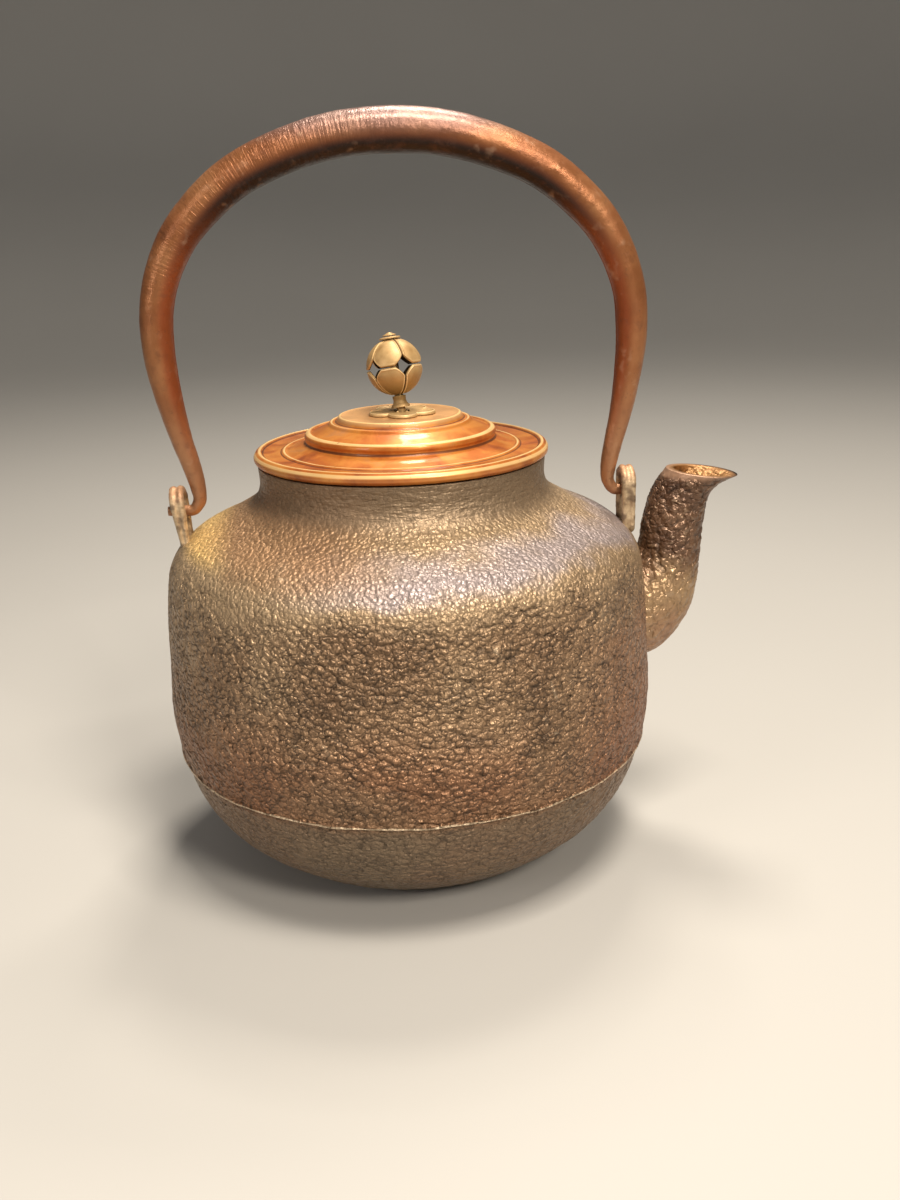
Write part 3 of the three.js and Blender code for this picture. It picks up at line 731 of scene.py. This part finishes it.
def lid_line():
    """Outline of the lid from its hole underneath, out round the rolled rim, and back over the top."""
    top = [
        # The rolled rim, with the groove inside it.
        (44.2, LID_UNDERSIDE), (48.4, LID_UNDERSIDE + 0.1), (LID_RADIUS + 0.25, 139.6),
        (LID_RADIUS + 0.3, 140.9), (48.7, 141.9), (47.9, 142.45), (47.2, 142.7), (46.7, 142.2),
        (46.3, 141.75),
        # The low outer step and its raised line.
        (43, 141.45), (40.1, 141.6), (39.6, 142.1), (39.2, 142.25), (38.8, 142.1), (38.3, 141.8),
        (35.5, 142.6), (33, 143.7),
        # The two upper steps.
        (31.9, 144.3), (31.7, 145.3), (32.1, 146.1), (31.8, 147.2), (30.9, 147.85), (30.1, 147.9),
        (29.6, 147.3), (26.5, 148.6), (24.1, 149.75), (23.6, 150.6), (23.1, 150.85), (22.5, 150.6),
        (21.3, 150.8), (20.9, 151.6), (20.5, 152.45), (20, 152.75), (19.4, 152.5),
        # The flat middle, in to the hole.
        (18.6, LID_DISC_HEIGHT - 0.2), (LID_HOLE, LID_DISC_HEIGHT - 0.05),
    ]
    underneath = [(LID_HOLE, LID_DISC_HEIGHT - 1.7), (19, 150.6), (24, 147.8), (31, 144.2), (34, 140.9),
                  (44.2, 140)]
    closing = rounded([underneath[-1], top[0]], 1, 0.5)[1:-1]
    return np.vstack([rounded(top, 0.35, 0.2), rounded(underneath, 1, 0.8), closing])


def rings(points, places):
    """How far each point lies on one of the rings, given by radius, width and the height they are above."""
    radius = np.hypot(points[..., 0], points[..., 1])
    return sum(bump(radius, at, width) * (points[..., 2] > low) for at, width, low in places)


def build_lid(material):
    points = revolve(lid_line(), 420)
    relief = rings(points, LID_HIGHLIGHT_RINGS) - 0.7 * rings(points, LID_SHADE_RINGS)
    slow = fractal(points.reshape(-1, 3), 16, 3, 101).reshape(points.shape[:2])
    points = points + surface_normals(points) * (slow * 0.12)[..., None]
    return skin("lid_skin", points, "lid", "copper", material, ["lid_disc"], ring=True, relief=relief)


def leaning(points):
    """Turns what stands on the knob's stem to its lean."""
    return (points - [0, 0, KNOB_FOOT[2]]) @ np.array(KNOB_LEAN).T + KNOB_FOOT


def turned_piece(name, outline, node, body, slot, material, columns=72, soften=0.15, ring=True, leans=True):
    """A small part of revolution with softened corners; a solid one starts and ends near the axis."""
    line = rounded([*outline, outline[0]] if ring else outline, soften, soften)
    if ring:
        line = line[:-1]
    points = revolve(line, columns)
    wear = fractal(points.reshape(-1, 3), 1.5, 3, 7).reshape(points.shape[:2])
    points = points + surface_normals(points) * (wear * 0.03)[..., None]
    if leans:
        points = leaning(points)
    return skin(name, points, body, slot, material, [node], ring=ring, relief=wear * 0.3)


def build_flange(copper):
    low, high = FLANGE
    inside = high[0] - 1.4
    turned_piece("flange_skin", [(inside, low[2]), (high[0], low[2]), (high[0], high[2]), (inside, high[2])],
                 "lid_flange", "lid", "copper", copper, 240, 0.3, leans=False)


def build_stem_fittings(bronze):
    washer = [(STEM_HOLE, WASHER_TOP - 0.8), (6, WASHER_TOP - 0.8), (6, WASHER_TOP), (STEM_HOLE, WASHER_TOP)]
    turned_piece("washer_skin", washer, "stem_washer", "lid", "bronze", bronze)
    stem = [(0.1, STEM_HEAD - 1.4), (1.8, STEM_HEAD - 1.1), (2.8, STEM_HEAD), (STEM_RADIUS, STEM_HEAD),
            (STEM_RADIUS, BALL_TOP + 0.3), (0.1, BALL_TOP + 0.3)]
    turned_piece("stem_skin", stem, "knob_stem", "lid", "bronze", bronze, 48, ring=False)
    bush_top = BALL_TOP - 2 * BALL_RADIUS - 0.1
    bush = [(STEM_HOLE, BUSH_BOTTOM), (3.25, BUSH_BOTTOM), (3.0, BUSH_BOTTOM + 0.6), (2.4, BUSH_BOTTOM + 1.3),
            (2.1, BUSH_BOTTOM + 2.2), (2.3, bush_top), (STEM_HOLE, bush_top)]
    turned_piece("bush_skin", bush, "stem_bush", "lid", "bronze", bronze)
    finial = [(0.1, BALL_TOP + 0.8), (2.3, BALL_TOP + 0.8), (2.2, BALL_TOP + 1.1), (1.3, BALL_TOP + 1.4),
              (0.7, BALL_TOP + 1.8), (0.1, BALL_TOP + 1.9)]
    turned_piece("finial_skin", finial, "knob_finial", "lid", "bronze", bronze, 48, 0.1, ring=False)
    collar = [(STEM_HOLE, BALL_TOP + 0.15), (3.5, BALL_TOP - 0.3), (3.6, BALL_TOP + 0.1),
              (3.3, BALL_TOP + 0.3), (STEM_HOLE, BALL_TOP + 0.5)]
    turned_piece("collar_skin", collar, "knob_collar", "knob", "bronze", bronze, 72, 0.1)


# ---- knob ----
def fold_angle(angle):
    """Angle from the middle of the nearest of five equal sectors."""
    sector = TAU / PETALS
    return (angle + sector / 2) % sector - sector / 2


def build_seat(material):
    """Plum blossom laid flat on the lid: five petals with thin raised edges."""
    columns, rows = 300, 60
    petal_radius, petal_offset = 4.95, 6.5
    angle = np.arange(columns) / columns * TAU - math.pi / 2
    off = fold_angle(angle + math.pi / 2)
    edge = petal_offset * np.cos(off) + np.sqrt(petal_radius**2 - (petal_offset * np.sin(off)) ** 2)
    bottom = SEAT[0][2]
    t = np.linspace(0, 1, rows)[:, None]
    radius = SEAT_HOLE + (edge - SEAT_HOLE) * (1 - t)
    x, y = radius * np.cos(angle), radius * np.sin(angle)
    from_petal = np.hypot(radius * np.cos(off) - petal_offset, radius * np.sin(off))
    rim = bump(from_petal, petal_radius - 0.45, 0.32)
    z = bottom + 0.4 + 0.35 * rim - 0.4 * smoothstep(0.03, 0, t)
    top = np.stack([x + KNOB_FOOT[0], y, z], 2)
    under = top[::-1].copy()
    under[..., 2] = bottom - 0.25
    points = np.concatenate([under, top])
    relief = np.concatenate([0 * rim, rim * 0.9 - 0.25 * bump(from_petal, petal_radius - 1.05, 0.4)])
    return skin("seat_skin", points, "lid", "bronze", material, ["knob_seat"], ring=True, relief=relief)


def petal_edge(off):
    """How far above the ball's middle the petals begin: high at an opening, and hardly where they meet."""
    share = np.clip(np.abs(off) / OPENING_HALF, 0, 1)
    opening = OPENING_HALF * (1 - share**OPENING_POWER) ** (1 / OPENING_POWER)
    return np.maximum(opening, 0.2 / BALL_RADIUS)


def build_blossom(name, side, node, material):
    """Half of the ball: five petals with rolled edges and a seam between neighbours."""
    columns, rows = 400, 50
    angle = np.arange(columns) / columns * TAU
    off = fold_angle(angle)
    edge = petal_edge(off)
    pole = math.acos(STEM_HOLE / (BALL_RADIUS - BALL_SHEET))
    lift = edge + (pole - edge) * np.linspace(0, 1, rows)[:, None] ** 1.2
    from_edge = (lift - edge) * BALL_RADIUS
    from_seam = np.abs(off) * BALL_RADIUS * np.cos(lift)
    seam = bump(from_seam, 0, 0.3)
    near = np.minimum(from_edge, from_seam)
    rim = bump(near, 0.5, 0.4) * (1 - seam)
    radius = BALL_RADIUS - 0.2 - 0.45 * seam + 0.16 * rim - 0.35 * smoothstep(0.3, 0, from_edge)
    radius = radius + 0.1 * smoothstep(0, 3, near)
    turn = angle + OPENING_TURN

    def shell(radius):
        flat, height = radius * np.cos(lift), BALL_CENTRE + side * radius * np.sin(lift)
        return np.stack([flat * np.cos(turn), flat * np.sin(turn), height], 2)

    inside = shell(np.full_like(lift, BALL_RADIUS - BALL_SHEET))[::-1]
    points = np.concatenate([shell(radius), inside])
    relief = np.concatenate([rim * (0.9 if side < 0 else 0.45) - seam, np.full_like(lift, -0.8)])
    if side < 0:
        points, relief = points[::-1], relief[::-1]
    return skin(name, leaning(points), "knob", "bronze", material, [node], ring=True, relief=relief)


# ---- surroundings ----
def build_floor():
    """A plain pale floor, in metres, that sweeps up all round into a backdrop."""
    columns = 96
    line = rounded([(0.001, -0.0002), (1.7, -0.0002), (2.6, 0.4), (2.9, 1.6)], 0.3, 0.06)
    points = revolve(line, columns)
    mesh = bpy.data.meshes.new("floor")
    here = np.arange(len(line) * columns).reshape(-1, columns)
    right = np.roll(here, -1, 1)
    faces = np.stack([here[:-1], right[:-1], right[1:], here[1:]], 2).reshape(-1, 4)[:, ::-1].tolist()
    faces.append(here[0].tolist())
    mesh.from_pydata(points.reshape(-1, 3).tolist(), [], faces)
    mesh.polygons.foreach_set("use_smooth", [True] * len(mesh.polygons))
    m = Material("floor")
    tone = m.noise(300, detail=2)
    m.set(Base_Color=m.mix(tone, (0.42, 0.412, 0.4), (0.45, 0.442, 0.43)), Roughness=0.6)
    mesh.materials.append(m.material)
    floor = bpy.data.objects.new("floor", mesh)
    bpy.context.scene.collection.objects.link(floor)


def add_light(name, place, size, power, colour):
    """A square lamp that faces the middle of the kettle."""
    light = bpy.data.lights.new(name, "AREA")
    light.shape = "RECTANGLE"
    light.size = light.size_y = size
    light.energy = power
    light.color = colour
    lamp = bpy.data.objects.new(name, light)
    lamp.location = place
    direction = Vector((0, 0, 0.13)) - Vector(place)
    lamp.rotation_euler = direction.to_track_quat("-Z", "Y").to_euler()
    bpy.context.scene.collection.objects.link(lamp)


def build_lights():
    warm = (1.0, 0.9, 0.76)
    add_light("key_behind", (0.12, 0.42, 1.05), 0.24, 8, warm)
    add_light("key_front", (0.18, -0.3, 1.1), 0.32, 13, warm)
    add_light("fill_left", (-0.8, -0.7, 0.5), 0.3, 2.4, (1.0, 0.93, 0.86))
    add_light("key_low", (0.4, -0.85, 0.75), 0.26, 9, warm)
    world = bpy.data.worlds.new("studio")
    world.use_nodes = True
    background = world.node_tree.nodes["Background"]
    background.inputs["Color"].default_value = (0.93, 0.9, 0.85, 1)
    background.inputs["Strength"].default_value = 0.17
    bpy.context.scene.world = world
    bpy.context.scene.view_settings.view_transform = "Standard"


def build_camera():
    """Camera at the photo's viewing angle: 18 degrees down, with a slight roll."""
    pitch, roll, yaw = math.radians(18.25), math.radians(-1.91), math.radians(-4)
    ahead = Vector((0, math.cos(pitch), -math.sin(pitch)))
    level, up = Vector((1, 0, 0)), Vector((0, math.sin(pitch), math.cos(pitch)))
    right = level * math.cos(roll) + up * math.sin(roll)
    top = up * math.cos(roll) - level * math.sin(roll)
    turn = Matrix.Rotation(yaw, 4, "Z")
    place = Vector((14.7, -400.3, 218.3)) * MM
    camera = bpy.data.objects.new("camera", bpy.data.cameras.new("camera"))
    basis = Matrix((right, top, -ahead)).transposed().to_4x4()
    camera.matrix_world = turn @ Matrix.Translation(place) @ basis
    camera.data.sensor_width = camera.data.lens = 36
    bpy.context.scene.collection.objects.link(camera)
    bpy.context.scene.camera = camera


# ---- assembly ----
build_camera()
build_lights()
build_floor()

copper, bronze = copper_material(), bronze_material()
lug_iron = lug_material()
build_body(body_material())
build_spout(spout_material())
build_lug("lug_skin_spout_side", LUG_X, 0, 0.9, "lug_spout_side", lug_iron)
build_lug("lug_skin_rear", REAR_LUG_X, -LUG_LEAN, 0.62, "lug_rear", lug_iron)
build_handle(handle_material())
build_lid(copper)
build_flange(copper)
build_stem_fittings(bronze)
build_seat(bronze)
build_blossom("blossom_skin_lower", -1, "knob_lower_blossom", bronze)
build_blossom("blossom_skin_upper", 1, "knob_upper_blossom", bronze)
